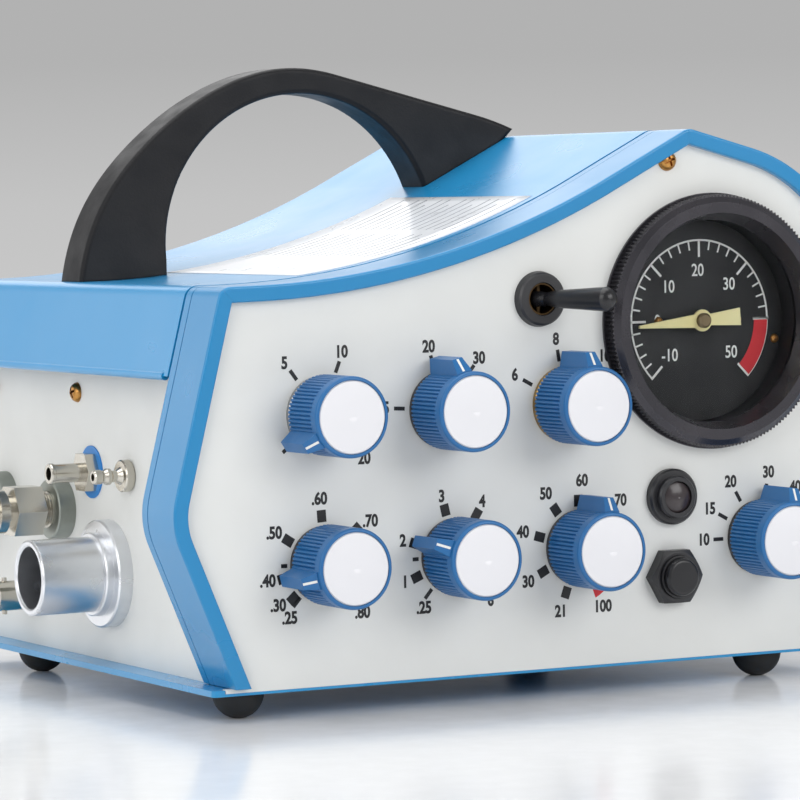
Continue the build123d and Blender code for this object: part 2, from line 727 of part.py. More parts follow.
with BuildPart() as gauge_movement:
    with BuildSketch(gauge_face.offset(-DIAL_DEPTH - DIAL_THICKNESS)):
        Circle(DIAL_RADIUS - 0.6)
        Circle(POINTER_SHAFT + RUNNING_GAP, mode=Mode.SUBTRACT)
        with Locations(*DIAL_SCREWS):
            Circle(DIAL_SCREW_HEAD / 2 + 0.1, mode=Mode.SUBTRACT)
    extrude(amount=-4)
    with BuildSketch(gauge_face.offset(-DIAL_DEPTH - DIAL_THICKNESS - 4)):
        Rectangle(30, 24)
        Circle(POINTER_SHAFT + RUNNING_GAP, mode=Mode.SUBTRACT)
    extrude(amount=-(CAN_BACK - 1.5 - DIAL_DEPTH - DIAL_THICKNESS - 4))
save(gauge_movement, "gauge_movement")

pointer_plane = Plane(
    origin=gauge_face.origin,
    x_dir=(cos(radians(POINTER_ANGLE)), 0, sin(radians(POINTER_ANGLE))),
    z_dir=(0, -1, 0),
)
POINTER_THICKNESS = 0.7
POINTER_HUB = 3.2
with BuildPart() as gauge_pointer:
    with BuildSketch(pointer_plane.offset(-POINTER_DEPTH)):
        Polygon(
            (POINTER_LENGTH, -0.4),
            (POINTER_LENGTH, 0.4),
            (0, 2.15),
            (-2.0, 1.6),
            (-POINTER_TAIL, 2.6),
            (-POINTER_TAIL, -2.6),
            (-2.0, -1.6),
            (0, -2.15),
            align=None,
        )
        Circle(POINTER_HUB)
        Circle(POINTER_SHAFT + 0.02, mode=Mode.SUBTRACT)
    extrude(amount=-POINTER_THICKNESS)
save(gauge_pointer, "gauge_pointer")

with BuildPart() as gauge_spindle:
    turned(
        gauge_face,
        [
            (0, -POINTER_DEPTH + 1.7),
            (1.6, -POINTER_DEPTH + 1.7),
            (2.2, -POINTER_DEPTH + 1.2),
            (2.2, -POINTER_DEPTH),
            (POINTER_SHAFT, -POINTER_DEPTH),
            (POINTER_SHAFT, -DIAL_DEPTH - 14),
            (0, -DIAL_DEPTH - 14),
        ],
    )
save(gauge_spindle, "gauge_spindle")

# ---------------------------------------------------------------- mode toggle

toggle_face = axis_at(TOGGLE)

with BuildPart() as toggle_collar:
    turned(toggle_face, [(4.7, 0), (8.0, 0), (7.6, 2.0), (7.0, 2.6), (4.7, 2.6)])
save(toggle_collar, "toggle_collar")

with BuildPart() as toggle_valve:
    turned(
        toggle_face,
        [
            (4.1, 2.2),
            (4.6, 2.2),
            (4.6, -FASCIA_THICKNESS),
            (9.5, -FASCIA_THICKNESS),
            (9.5, -28),
            (0, -28),
            (0, -9),
            (4.1, -9),
        ],
    )
    with BuildSketch(GROUND.offset(TOGGLE[1] - 4.4)):
        with Locations((TOGGLE[0], TOGGLE_PIVOT)):
            Circle(TOGGLE_PIN)
    extrude(amount=8.8)
save(toggle_valve, "toggle_valve")

lean = radians(TOGGLE_LEAN)
lever_plane = Plane(
    origin=axis_at(TOGGLE, TOGGLE_PIVOT).origin, x_dir=(cos(lean), sin(lean), 0), z_dir=(sin(lean), -cos(lean), 0)
)
with BuildPart() as toggle_lever:
    with BuildSketch(profile_plane(lever_plane)):
        with BuildLine():
            TangentArc((0, -2.4), (2.3, 0.7), tangent=(1, 0))
            Line((2.3, 0.7), (1.9, 3.2))
            Line((1.9, 3.2), (2.6, 7.5))
            Line((2.6, 7.5), (3.5, TOGGLE_REACH - 3.0))
            TangentArc((0, TOGGLE_REACH), (3.5, TOGGLE_REACH - 3.0), tangent=(1, 0))
            Line((0, TOGGLE_REACH), (0, -2.4))
        make_face()
    revolve(axis=Axis(lever_plane.origin, lever_plane.z_dir))
    with BuildSketch(GROUND.offset(TOGGLE[1] - 5)):
        with Locations((TOGGLE[0], TOGGLE_PIVOT)):
            Circle(TOGGLE_PIN + RUNNING_GAP)
    extrude(amount=10, mode=Mode.SUBTRACT)
save(toggle_lever, "toggle_lever")

# ---------------------------------------------------------------- alarm eye and reset button

eye_face = axis_at(ALARM_EYE)
EYE_RADIUS = 4.5

with BuildPart() as alarm_ring:
    turned(
        eye_face,
        [
            (EYE_RADIUS + 0.1, 0),
            (8.15, 0),
            (8.15, 1.8),
            (7.6, 2.4),
            (6.2, 2.4),
            (6.2, 4.0),
            (5.7, 4.5),
            (EYE_RADIUS + 0.1, 4.5),
        ],
    )
save(alarm_ring, "alarm_ring")

with BuildPart() as alarm_eye:
    with BuildSketch(profile_plane(eye_face)):
        with BuildLine():
            Line((0, -FASCIA_THICKNESS), (EYE_RADIUS, -FASCIA_THICKNESS))
            Line((EYE_RADIUS, -FASCIA_THICKNESS), (EYE_RADIUS, 3.8))
            TangentArc((0, 5.0), (EYE_RADIUS, 3.8), tangent=(1, 0))
            Line((0, 5.0), (0, -FASCIA_THICKNESS))
        make_face()
    revolve(axis=Axis(eye_face.origin, eye_face.z_dir))
save(alarm_eye, "alarm_eye")

reset_face = axis_at(RESET)
STEM = 2.5

with BuildPart() as reset_nut:
    with BuildSketch(reset_face):
        RegularPolygon(RESET_NUT_FLATS / 2, 6, major_radius=False)
        Circle(RESET_BUSHING + FIT_GAP, mode=Mode.SUBTRACT)
    extrude(amount=4)
    with BuildSketch(profile_plane(reset_face.offset(4))):
        Polygon((7.0, 0.1), (9.5, 0.1), (9.5, -1.3), align=None)
    revolve(axis=Axis(reset_face.origin, reset_face.z_dir), mode=Mode.SUBTRACT)
save(reset_nut, "reset_nut")

with BuildPart() as reset_valve:
    turned(
        reset_face,
        [
            (RESET_BUTTON + RUNNING_GAP, 5.0),
            (RESET_BUSHING, 5.0),
            (RESET_BUSHING, -FASCIA_THICKNESS),
            (9.0, -FASCIA_THICKNESS),
            (9.0, -30),
            (0, -30),
            (0, -20),
            (STEM + RUNNING_GAP, -20),
            (STEM + RUNNING_GAP, -RESET_WELL),
            (RESET_BUTTON + RUNNING_GAP, -RESET_WELL),
        ],
    )
save(reset_valve, "reset_valve")

with BuildPart() as reset_button:
    with BuildSketch(profile_plane(reset_face)):
        with BuildLine():
            Line((0, -16), (STEM, -16))
            Line((STEM, -16), (STEM, -2))
            Line((STEM, -2), (RESET_BUTTON, -2))
            Line((RESET_BUTTON, -2), (RESET_BUTTON, RESET_FRONT - 1.0))
            ThreePointArc(
                (RESET_BUTTON, RESET_FRONT - 1.0),
                (RESET_BUTTON - 0.35, RESET_FRONT - 0.35),
                (RESET_BUTTON - 1.1, RESET_FRONT),
            )
            Line((RESET_BUTTON - 1.1, RESET_FRONT), (0, RESET_FRONT))
            Line((0, RESET_FRONT), (0, -16))
        make_face()
    revolve(axis=Axis(reset_face.origin, reset_face.z_dir))
save(reset_button, "reset_button")

# ---------------------------------------------------------------- ports on the left side

patient_face = side_axis_at(PATIENT_PORT)
with BuildPart() as patient_connector:
    turned(
        patient_face,
        [
            (PATIENT_BORE, -9.0),
            (9.9, -9.0),
            (9.9, 0),
            (15.8, 0),
            (15.8, 3.9),
            (15.3, 4.4),
            (12.3, 4.4),
            (12.3, 6.4),
            (11.9, 6.8),
            (PATIENT_TUBE, 6.8),
            (PATIENT_TUBE, PATIENT_REACH - 0.5),
            (PATIENT_TUBE - 0.5, PATIENT_REACH),
            (PATIENT_BORE + 0.5, PATIENT_REACH),
            (PATIENT_BORE, PATIENT_REACH - 0.5),
        ],
    )
save(patient_connector, "patient_connector")

with BuildPart() as expiratory_port:
    turned(
        side_axis_at(EXPIRATORY_PORT),
        [
            (1.1, -5),
            (2.8, -5),
            (2.8, 0),
            (4.3, 0),
            (4.7, 0.4),
            (4.7, 2.6),
            (4.3, 3.0),
            (2.6, 3.0),
            (2.2, 3.6),
            (1.7, 4.4),
            (1.7, 5.8),
            (2.4, 6.4),
            (2.4, 7.4),
            (1.8, 8.4),
            (1.8, 8.8),
            (2.1, 9.2),
            (2.1, 11.2),
            (1.8, 11.6),
            (1.1, 11.6),
        ],
    )
save(expiratory_port, "expiratory_port")

pressure_face = side_axis_at(PRESSURE_PORT)
with BuildPart() as pressure_port:
    with BuildSketch(pressure_face):
        RegularPolygon(5.45, 6, major_radius=False)
        Circle(2.0, mode=Mode.SUBTRACT)
    extrude(amount=3.9)
    turned(
        pressure_face,
        [
            (1.9, -5),
            (2.8, -5),
            (2.8, 12.6),
            (3.1, 12.8),
            (3.1, 13.6),
            (2.9, 14.0),
            (1.9, 14.0),
        ],
    )
save(pressure_port, "pressure_port")

with BuildPart() as inlet_flanges:
    for port in (OXYGEN_INLET, AIR_INLET):
        turned(
            side_axis_at(port),
            [(INLET_THREAD + FIT_GAP, 0), (8.9, 0), (8.9, 5.0), (8.5, 5.4), (INLET_THREAD + FIT_GAP, 5.4)],
        )
save(inlet_flanges, "inlet_flanges")

with BuildPart() as inlet_fittings:
    for port in (OXYGEN_INLET, AIR_INLET):
        inlet_face = side_axis_at(port)
        turned(
            inlet_face,
            [
                (2.6, -8),
                (INLET_THREAD, -8),
                (INLET_THREAD, 6.0),
                (INLET_THREAD - 0.5, 6.4),
                (INLET_THREAD, 6.8),
                (INLET_THREAD - 0.5, 7.2),
                (INLET_THREAD, 7.6),
                (INLET_THREAD - 0.5, 8.0),
                (INLET_THREAD, 8.4),
                (INLET_THREAD, 8.8),
                (6.6, 8.8),
                (6.6, 18.0),
                (4.9, 18.0),
                (4.9, 19.6),
                (6.5, 20.0),
                (6.5, 22.8),
                (5.3, 23.2),
                (5.3, 27.4),
                (4.7, 28.0),
                (2.6, 28.0),
            ],
        )
        with BuildSketch(inlet_face.offset(8.8)):
            RegularPolygon(7.2, 6, major_radius=False)
            Circle(6.0, mode=Mode.SUBTRACT)
        extrude(amount=9.2)
save(inlet_fittings, "inlet_fittings")

jack_face = side_axis_at(ALARM_JACK)
with BuildPart() as alarm_jack:
    turned(
        jack_face,
        [
            (0, -10),
            (4.1, -10),
            (4.1, 0),
            (6.4, 0),
            (6.4, 1.6),
            (4.55, 1.6),
            (4.55, 14.0),
            (3.6, 14.0),
            (3.6, 5.0),
            (0.7, 5.0),
            (0.7, 12.5),
            (0, 12.5),
        ],
    )
    with BuildSketch(Plane(origin=jack_face.offset(11.0).origin, z_dir=(0, 0, 1)).offset(-5.6)):
        Circle(0.8)
    extrude(amount=1.4)
    with BuildSketch(Plane(origin=jack_face.offset(11.0).origin, z_dir=(0, 0, 1)).offset(4.2)):
        Circle(0.8)
    extrude(amount=1.4)
save(alarm_jack, "alarm_jack")

# ---------------------------------------------------------------- inside the case

with BuildPart() as pneumatic_module:
    with BuildSketch(GROUND):
        with Locations((MODULE_LEFT + MODULE_WIDTH / 2, MODULE_FRONT + MODULE_DEPTH / 2)):
            RectangleRounded(MODULE_WIDTH, MODULE_DEPTH, 4)
    extrude(amount=MODULE_HEIGHT)
    chamfer(pneumatic_module.faces().sort_by(Axis.Z)[-1].edges(), 1.5)
save(pneumatic_module, "pneumatic_module")

with BuildPart() as gas_regulator:
    with BuildSketch(GROUND):
        with Locations((REGULATOR[0], REGULATOR[1])):
            Rectangle(28, 62)
    extrude(amount=54)
    with BuildSketch(GROUND.offset(54)):
        with Locations((REGULATOR[0], REGULATOR[1])):
            Circle(13)
    extrude(amount=22)
    fillet(gas_regulator.faces().sort_by(Axis.Z)[-1].edges(), 3)
save(gas_regulator, "gas_regulator")
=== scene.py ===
"""Looks for the portable ventilator: materials, dial prints, top label, stage, lights and camera."""

from math import cos, radians, sin

import bpy
from mathutils import Matrix, Vector


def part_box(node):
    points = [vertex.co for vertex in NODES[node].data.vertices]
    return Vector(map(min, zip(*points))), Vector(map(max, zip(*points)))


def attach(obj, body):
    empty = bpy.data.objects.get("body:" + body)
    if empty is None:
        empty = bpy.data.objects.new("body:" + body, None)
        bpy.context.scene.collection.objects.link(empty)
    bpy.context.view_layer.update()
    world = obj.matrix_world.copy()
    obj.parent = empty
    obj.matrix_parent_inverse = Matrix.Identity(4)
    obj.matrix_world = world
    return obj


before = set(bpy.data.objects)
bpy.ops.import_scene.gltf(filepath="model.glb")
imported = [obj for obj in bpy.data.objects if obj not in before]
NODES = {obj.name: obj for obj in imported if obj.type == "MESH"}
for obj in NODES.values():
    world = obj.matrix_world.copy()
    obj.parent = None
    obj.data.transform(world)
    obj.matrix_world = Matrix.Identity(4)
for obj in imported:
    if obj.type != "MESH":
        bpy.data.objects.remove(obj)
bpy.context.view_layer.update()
MM = 0.001
CASE = "case"

KNOBS = ("peep", "pressure", "flow", "inspiration_time", "expiration_time", "oxygen_blend", "alarm_limit")


# ---------------------------------------------------------------- materials


def linear(red, green, blue):
    """A display colour of 0 to 255 as scene-linear numbers."""
    channels = []
    for value in (red, green, blue):
        value = value / 255
        channels.append(value / 12.92 if value <= 0.04045 else ((value + 0.055) / 1.055) ** 2.4)
    return (*channels, 1.0)


def node(tree, kind, **inputs):
    """A shader node with its unlinked inputs set."""
    made = tree.nodes.new(kind)
    for name, value in inputs.items():
        made.inputs[name.replace("_", " ")].default_value = value
    return made


def noise(tree, place, scale, detail=3.0):
    """A cloudy noise in a material's own space."""
    texture = node(tree, "ShaderNodeTexNoise", Scale=scale, Detail=detail, Roughness=0.55)
    tree.links.new(place, texture.inputs["Vector"])
    return texture.outputs["Fac"]


def spread(tree, value, low, high, start=0.3, end=0.7):
    """Carries a noise value into a range."""
    ranged = tree.nodes.new("ShaderNodeMapRange")
    ranged.inputs["From Min"].default_value = start
    ranged.inputs["From Max"].default_value = end
    ranged.inputs["To Min"].default_value = low
    ranged.inputs["To Max"].default_value = high
    tree.links.new(value, ranged.inputs["Value"])
    return ranged.outputs["Result"]


def surface(
    name,
    colour,
    worn,
    rough,
    metallic=0.0,
    coat=0.0,
    grain=1500.0,
    grain_depth=0.02,
    round_edge=0.25,
    turned=None,
    specular=0.5,
    patch=35.0,
    coat_rough=0.12,
):
    """A procedural finish: patchy colour, uneven gloss, a fine grain and softened edges."""
    material = bpy.data.materials.new(name)
    material.use_nodes = True
    tree = material.node_tree
    shader = tree.nodes["Principled BSDF"]
    shader.inputs["Metallic"].default_value = metallic
    shader.inputs["Coat Weight"].default_value = coat
    shader.inputs["Coat Roughness"].default_value = coat_rough
    shader.inputs["Specular IOR Level"].default_value = specular
    place = tree.nodes.new("ShaderNodeTexCoord").outputs["Object"]

    patches = spread(tree, noise(tree, place, patch), 0.0, 1.0)
    blend = tree.nodes.new("ShaderNodeMix")
    blend.data_type = "RGBA"
    blend.inputs["A"].default_value = linear(*colour)
    blend.inputs["B"].default_value = linear(*worn)
    tree.links.new(patches, blend.inputs["Factor"])
    tree.links.new(blend.outputs["Result"], shader.inputs["Base Color"])

    gloss = spread(tree, noise(tree, place, patch * 3.2), rough * 0.85, min(1.0, rough * 1.2))
    tree.links.new(gloss, shader.inputs["Roughness"])

    bevel = node(tree, "ShaderNodeBevel", Radius=round_edge * MM)
    bevel.samples = 4
    bump = node(tree, "ShaderNodeBump", Strength=grain_depth * 10, Distance=0.1 * MM)
    tree.links.new(noise(tree, place, grain, 2.0), bump.inputs["Height"])
    tree.links.new(bevel.outputs["Normal"], bump.inputs["Normal"])
    last = bump
    if turned:
        rings = tree.nodes.new("ShaderNodeTexWave")
        rings.wave_type = "BANDS"
        rings.bands_direction = turned
        rings.inputs["Scale"].default_value = 900.0
        rings.inputs["Distortion"].default_value = 1.5
        tree.links.new(place, rings.inputs["Vector"])
        grooves = node(tree, "ShaderNodeBump", Strength=0.12, Distance=0.05 * MM)
        tree.links.new(rings.outputs["Fac"], grooves.inputs["Height"])
        tree.links.new(bump.outputs["Normal"], grooves.inputs["Normal"])
        last = grooves
    tree.links.new(last.outputs["Normal"], shader.inputs["Normal"])
    return material


def clear(name, tint, rough):
    """A clear window with a faint unevenness in its polish."""
    material = bpy.data.materials.new(name)
    material.use_nodes = True
    tree = material.node_tree
    shader = tree.nodes["Principled BSDF"]
    shader.inputs["Base Color"].default_value = linear(*tint)
    shader.inputs["Transmission Weight"].default_value = 1.0
    shader.inputs["IOR"].default_value = 1.12
    place = tree.nodes.new("ShaderNodeTexCoord").outputs["Object"]
    tree.links.new(spread(tree, noise(tree, place, 60.0), rough, rough * 2), shader.inputs["Roughness"])
    return material


panel_white = surface("panel_white", (228, 229, 226), (223, 224, 221), 0.4, grain=1100, grain_depth=0.01)
trim_blue = surface(
    "trim_blue",
    (8, 131, 188),
    (7, 129, 185),
    0.3,
    coat=0.4,
    grain=1300,
    grain_depth=0.008,
    patch=9.0,
    coat_rough=0.2,
)
cover_blue = surface(
    "cover_blue",
    (20, 142, 200),
    (18, 140, 197),
    0.3,
    coat=0.45,
    grain=1300,
    grain_depth=0.008,
    patch=9.0,
    coat_rough=0.22,
)
handle_black = surface(
    "handle_black",
    (12, 12, 16),
    (15, 15, 19),
    0.45,
    grain=1600,
    grain_depth=0.03,
    round_edge=0.8,
    specular=0.3,
)
rubber_black = surface("rubber_black", (18, 18, 18), (26, 26, 26), 0.6, grain=900, grain_depth=0.04)
brass = surface("brass", (200, 150, 84), (160, 112, 62), 0.32, metallic=1.0, patch=500.0, round_edge=0.15)
dull_brass = surface("dull_brass", (96, 76, 50), (62, 50, 36), 0.45, metallic=1.0, patch=300.0)
brass_nut = surface("brass_nut", (186, 158, 104), (150, 124, 78), 0.34, metallic=1.0, patch=200.0)
steel = surface("steel", (176, 176, 178), (150, 150, 152), 0.35, metallic=1.0)
black_metal = surface(
    "black_metal", (30, 30, 33), (38, 38, 42), 0.36, grain=1800, grain_depth=0.02, specular=0.6
)
ring_black = surface(
    "ring_black",
    (62, 61, 66),
    (72, 70, 75),
    0.26,
    metallic=0.7,
    round_edge=0.12,
    coat=0.2,
    grain_depth=0.006,
)
dial_black = surface("dial_black", (16, 16, 19), (20, 20, 23), 0.6, grain_depth=0.006)
pointer_cream = surface("pointer_cream", (236, 226, 170), (228, 214, 150), 0.4, round_edge=0.08)
pointer_boss = surface("pointer_boss", (150, 132, 100), (110, 96, 74), 0.35, metallic=0.8, round_edge=0.1)
grey_metal = surface("grey_metal", (178, 180, 182), (160, 162, 165), 0.35, metallic=1.0)
eye_dark = surface("eye_dark", (52, 44, 46), (44, 36, 38), 0.3, coat=0.25, grain_depth=0.004)
button_black = surface("button_black", (24, 24, 27), (32, 32, 35), 0.3, grain_depth=0.02)
aluminium = surface(
    "anodised_aluminium",
    (226, 228, 231),
    (219, 221, 225),
    0.3,
    metallic=1.0,
    grain_depth=0.004,
    turned="X",
    patch=12.0,
)
nickel = surface(
    "nickel", (206, 202, 192), (194, 189, 178), 0.2, metallic=1.0, grain_depth=0.004, round_edge=0.12
)
zinc = surface("zinc", (162, 166, 160), (138, 143, 136), 0.4, metallic=0.9, patch=90.0, grain_depth=0.008)
knob_blue = surface(
    "knob_blue", (34, 106, 164), (29, 98, 155), 0.36, grain=1500, grain_depth=0.006, round_edge=0.06
)
cap_white = surface("cap_white", (232, 232, 236), (228, 228, 232), 0.35, grain_depth=0.004, round_edge=0.2)
module_grey = surface("module_grey", (150, 150, 154), (136, 136, 140), 0.5, metallic=0.4)
glass = clear("gauge_glass", (250, 252, 253), 0.01)
print_black = surface("print_black", (22, 22, 24), (34, 34, 36), 0.5, grain_depth=0.004, round_edge=0.02)
print_white = surface(
    "print_white", (236, 236, 232), (226, 226, 222), 0.5, grain_depth=0.004, round_edge=0.02
)
print_red = surface("print_red", (206, 34, 44), (192, 28, 38), 0.5, grain_depth=0.004, round_edge=0.02)
print_grey = surface(
    "print_grey", (120, 126, 134), (134, 140, 148), 0.5, grain_depth=0.004, round_edge=0.02
)
label_white = surface("label_white", (236, 239, 243), (230, 234, 240), 0.3, coat=0.3, grain_depth=0.006)
disc_blue = surface("disc_blue", (26, 132, 212), (22, 124, 202), 0.35, grain_depth=0.01)

FINISHES = {
    "front_panel": panel_white,
    "side_panel_left": panel_white,
    "side_panel_right": panel_white,
    "rear_panel": panel_white,
    "bezel_left": trim_blue,
    "bezel_top": trim_blue,
    "bezel_right": trim_blue,
    "top_cover": cover_blue,
    "base_tray": cover_blue,
    "carry_handle": handle_black,
    "rubber_feet": rubber_black,
    "brass_screws": brass,
    "handle_screws": steel,
    "gauge_case": black_metal,
    "gauge_ring": ring_black,
    "gauge_lens": glass,
    "gauge_dial": dial_black,
    "gauge_pointer": pointer_cream,
    "gauge_spindle": pointer_boss,
    "gauge_movement": steel,
    "valve_nuts_metal": grey_metal,
    "valve_nuts_black": black_metal,
    "control_valves": steel,
    "toggle_collar": black_metal,
    "toggle_valve": dull_brass,
    "toggle_lever": button_black,
    "alarm_ring": black_metal,
    "alarm_eye": eye_dark,
    "reset_nut": black_metal,
    "reset_valve": black_metal,
    "reset_button": button_black,
    "patient_connector": aluminium,
    "expiratory_port": nickel,
    "pressure_port": nickel,
    "inlet_flanges": zinc,
    "inlet_fittings": nickel,
    "alarm_jack": nickel,
    "pneumatic_module": module_grey,
    "gas_regulator": module_grey,
}
for control in KNOBS:
    FINISHES[f"knob_{control}"] = knob_blue
    FINISHES[f"cap_{control}"] = cap_white
    FINISHES[f"spindle_{control}"] = steel

for name, finish in FINISHES.items():
    mesh = NODES[name].data
    mesh.materials.clear()
    mesh.materials.append(finish)

# The flow valve's nut is brass and the other metal nut is grey
nut_mesh = NODES["valve_nuts_metal"].data
nut_mesh.materials.append(brass_nut)
nut_low, nut_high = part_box("valve_nuts_metal")
for face in nut_mesh.polygons:
    face.material_index = 1 if face.center.x > (nut_low[0] + nut_high[0]) / 2 else 0


# ---------------------------------------------------------------- printed marks


def middle(name):
    """The middle of a CAD node's box, in metres."""
    low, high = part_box(name)
    return (Vector(low) + Vector(high)) / 2


FASCIA_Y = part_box("front_panel")[0][1]
DIAL_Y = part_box("gauge_dial")[0][1]
INK = 0.06 * MM


class Print:
    """Flat shapes gathered in a plane parallel to the fascia, in millimetres about a centre."""

    def __init__(self):
        self.points = []
        self.faces = []

    def polygon(self, corners):
        """A closed plate, given anticlockwise as seen from the front."""
        count = len(corners)
        first = len(self.points)
        self.points += [(x, 0.0, z) for x, z in corners]
        self.points += [(x, 1.0, z) for x, z in corners]
        self.faces.append([first + i for i in range(count)])
        self.faces.append([first + count + i for i in reversed(range(count))])
        for i in range(count):
            j = (i + 1) % count
            self.faces.append([first + j, first + i, first + count + i, first + count + j])

    def block(self, angle, near, far, width):
        """A radial bar between two radii."""
        turn = radians(angle)
        along = (cos(turn), sin(turn))
        side = (-sin(turn) * width / 2, cos(turn) * width / 2)
        self.polygon(
            [
                (along[0] * near - side[0], along[1] * near - side[1]),
                (along[0] * far - side[0], along[1] * far - side[1]),
                (along[0] * far + side[0], along[1] * far + side[1]),
                (along[0] * near + side[0], along[1] * near + side[1]),
            ]
        )

    def arc(self, start, end, near, far, steps=48):
        """A band that runs clockwise from one angle to another."""
        for index in range(steps):
            a = radians(start + (end - start) * index / steps)
            b = radians(start + (end - start) * (index + 1) / steps)
            self.polygon(
                [
                    (cos(b) * near, sin(b) * near),
                    (cos(b) * far, sin(b) * far),
                    (cos(a) * far, sin(a) * far),
                    (cos(a) * near, sin(a) * near),
                ]
            )

    def build(self, name, centre, face_y, material, ink=INK):
        """Makes the piece: its shapes stand on a face by the thickness of the ink."""
        mesh = bpy.data.meshes.new(name)
        placed = [(centre.x + x * MM, face_y - ink * (1 - y), centre.z + z * MM) for x, y, z in self.points]
        mesh.from_pydata(placed, [], self.faces)
        return finish_piece(name, mesh, material)


def finish_piece(name, mesh, material, body=CASE):
    """Makes an object from a mesh, and ties it to a body and a material slot."""
    mesh.validate()
    mesh.materials.clear()
    mesh.materials.append(material)
    piece = bpy.data.objects.new(name, mesh)
    bpy.context.scene.collection.objects.link(piece)
    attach(piece, body)
    return piece


DIGIT_SHARE = 0.7  # a digit's height as a share of its font size


def numbers(name, centre, face_y, labels, height, material, squeeze=0.84, bold=0.055):
    """Upright numbers about a centre: each label is (text, x, z) in millimetres."""
    points = []
    faces = []
    for text, x, z in labels:
        curve = bpy.data.curves.new(name, "FONT")
        curve.body = text
        curve.size = height * MM / DIGIT_SHARE
        curve.align_x = "CENTER"
        curve.align_y = "CENTER"
        curve.offset = bold * height * MM
        curve.extrude = INK / 2
        curve.resolution_u = 4
        letter = bpy.data.objects.new(name, curve)
        bpy.context.scene.collection.objects.link(letter)
        shape = bpy.data.meshes.new_from_object(letter.evaluated_get(bpy.context.evaluated_depsgraph_get()))
        first = len(points)
        for vertex in shape.vertices:
            across, up, out = vertex.co
            points.append(
                (centre.x + x * MM + across * squeeze, face_y - INK / 2 - out, centre.z + z * MM + up)
            )
        faces += [[first + index for index in face.vertices] for face in shape.polygons]
        bpy.data.objects.remove(letter)
        bpy.data.curves.remove(curve)
        bpy.data.meshes.remove(shape)
    mesh = bpy.data.meshes.new(name)
    mesh.from_pydata(points, [], faces)
    return finish_piece(name, mesh, material)


def around(radius, *places):
    """Labels placed round a circle: (text, angle) pairs become (text, x, z)."""
    return [(text, radius * cos(radians(angle)), radius * sin(radians(angle))) for text, angle in places]


# The way each knob's wing points, and the scale round it: line width, mark angles, numbers and their radius
WINGS = {
    "peep": -147,
    "pressure": 104,
    "flow": 92,
    "inspiration_time": 194,
    "expiration_time": 160,
    "oxygen_blend": 86,
    "alarm_limit": 81,
}
THIN = 1.1
THICK = 2.8
SCALES = {
    "peep": (THIN, [127, 68, 8, -51], [("5", 127.5), ("10", 69), ("20", -44)], 18.4),
    "pressure": (THIN, [177, 104, 50], [("5", 177), ("20", 104), ("30", 50)], 18.3),
    "flow": (THIN, [152, 98.8, 45], [("6", 152), ("8", 98.8), ("10", 45)], 18.8),
    "inspiration_time": (
        THICK,
        [-138.6, -166, 147.7, 93.6, 43, -51],
        [
            (".25", -128),
            (".30", -144),
            (".40", -168),
            (".50", 149),
            (".60", 94.6),
            (".70", 38),
            (".80", -51),
        ],
        18.3,
    ),
    "expiration_time": (
        THICK,
        [-157, 162, 103, 58, -49],
        [(".25", -126), ("1", -158), ("2", 163), ("3", 103.4), ("4", 58.8), ("6", -49.6)],
        17.5,
    ),
    "oxygen_blend": (
        THICK,
        [-109, -152, 164, 124, 90],
        [("21", -109), ("30", -152), ("40", 164), ("50", 124), ("60", 86), ("70", 42), ("100", -66)],
        19.2,
    ),
    "alarm_limit": (
        THIN,
        [180, 152, 120, 79, 47],
        [("10", 180), ("15", 152), ("20", 120), ("30", 79), ("40", 47)],
        19.2,
    ),
}
MARK_NEAR = {THIN: 12.4, THICK: 11.8}
MARK_FAR = {THIN: 15.8, THICK: 15.2}

for control, (width, ticks, labels, radius) in SCALES.items():
    centre = middle(f"cap_{control}")
    marks = Print()
    near, far = MARK_NEAR[width], MARK_FAR[width]
    for angle in ticks:
        marks.block(angle, near, far, width)
    if control == "peep":
        marks.block(-140.4, near, far, THIN)
    if control == "inspiration_time":
        marks.block(-131.7, near, far, THIN)
        marks.block(179, near, far - 1.5, THIN)
    if control == "expiration_time":
        marks.block(-130.7, near, far, THIN)
        marks.block(-179, near, far - 1.5, THIN)
    marks.build(f"marks_{control}", centre, FASCIA_Y, print_black)
    numbers(
        f"numbers_{control}", centre, FASCIA_Y, around(radius, *labels), 3.3, print_black
    )

# Red band that widens clockwise beside the oxygen knob
CRESCENT_STEPS = 40
CRESCENT_START = 52
CRESCENT_SWEEP = 122
CRESCENT_NEAR = 12.0
CRESCENT_NARROW = 12.2
CRESCENT_SWELL = 3.6
crescent = Print()
for step in range(CRESCENT_STEPS):
    edges = []
    for share in (step / CRESCENT_STEPS, (step + 1) / CRESCENT_STEPS):
        turn = radians(CRESCENT_START - CRESCENT_SWEEP * share)
        far = CRESCENT_NARROW + CRESCENT_SWELL * share
        near_corner = (CRESCENT_NEAR * cos(turn), CRESCENT_NEAR * sin(turn))
        far_corner = (far * cos(turn), far * sin(turn))
        edges.append((near_corner, far_corner))
    (start_near, start_far), (end_near, end_far) = edges
    crescent.polygon([end_near, end_far, start_far, start_near])
crescent.build("oxygen_crescent", middle("cap_oxygen_blend"), FASCIA_Y, print_red)

